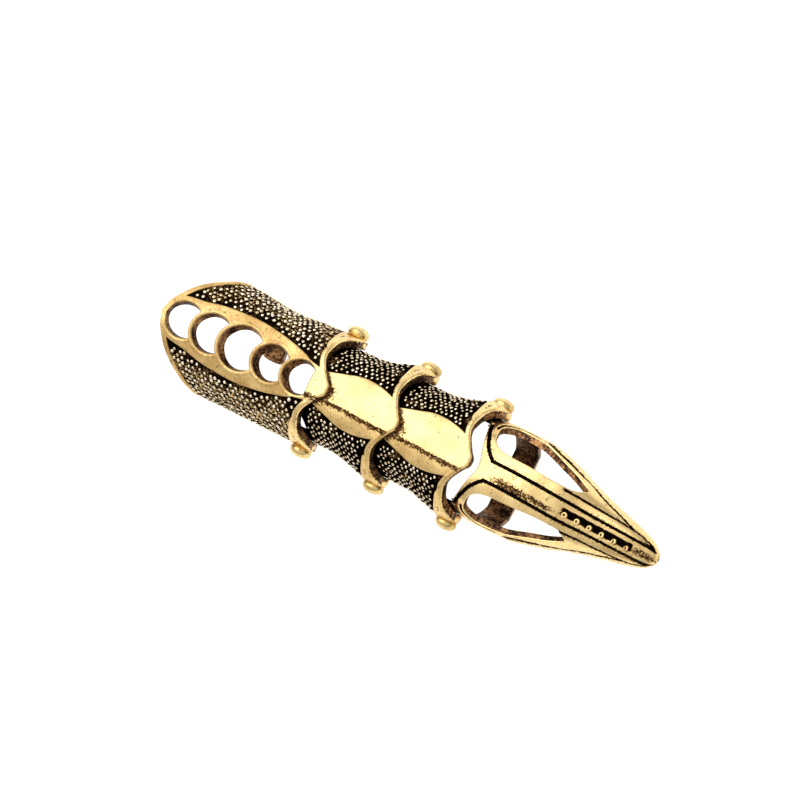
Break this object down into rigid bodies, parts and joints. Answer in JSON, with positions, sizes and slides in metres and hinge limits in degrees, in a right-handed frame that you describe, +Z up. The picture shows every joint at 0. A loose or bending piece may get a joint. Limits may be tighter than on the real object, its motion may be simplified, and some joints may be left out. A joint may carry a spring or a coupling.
{
  "type": "knuckle armor ring",
  "caption": "Full-finger armour ring in antique gold: riveted plates hinge over the finger, from a pierced base sleeve through flared knuckle plates to a claw tip with side windows.",
  "frame": {"origin": "on the surface that the ring rests on, under the middle of its length and width", "axes": "+X along the finger towards the claw's tip, +Y to the wearer's left with the claw pointing away, +Z up through the back of the finger"},
  "size_m": [0.0998, 0.0254, 0.0207],
  "materials": {
    "antique_gold": "antique gold plate, blackened in the recesses",
    "rivet_gold": "satin gold plate, a little brighter and slightly pitted"
  },
  "bodies": {
    "base": {"base_plate": "antique_gold", "rivet_rear_left": "rivet_gold", "rivet_rear_right": "rivet_gold"},
    "plate_rear": {"knuckle_plate_rear": "antique_gold", "rivet_middle_left": "rivet_gold", "rivet_middle_right": "rivet_gold"},
    "plate_front": {"knuckle_plate_front": "antique_gold", "rivet_front_left": "rivet_gold", "rivet_front_right": "rivet_gold"},
    "claw": {"claw": "antique_gold"}
  },
  "joints": [
    {"name": "rear_knuckle", "type": "hinge", "parent": "base", "child": "plate_rear", "pos_m": [-0.0188, 0, 0.0099], "axis": [0, 1, 0], "range_deg": [0, 40]},
    {"name": "middle_knuckle", "type": "hinge", "parent": "plate_rear", "child": "plate_front", "pos_m": [-0.0037, 0, 0.0099], "axis": [0, 1, 0], "range_deg": [0, 40]},
    {"name": "front_knuckle", "type": "hinge", "parent": "plate_front", "child": "claw", "pos_m": [0.0114, 0, 0.0099], "axis": [0, 1, 0], "range_deg": [0, 40]}
  ]
}
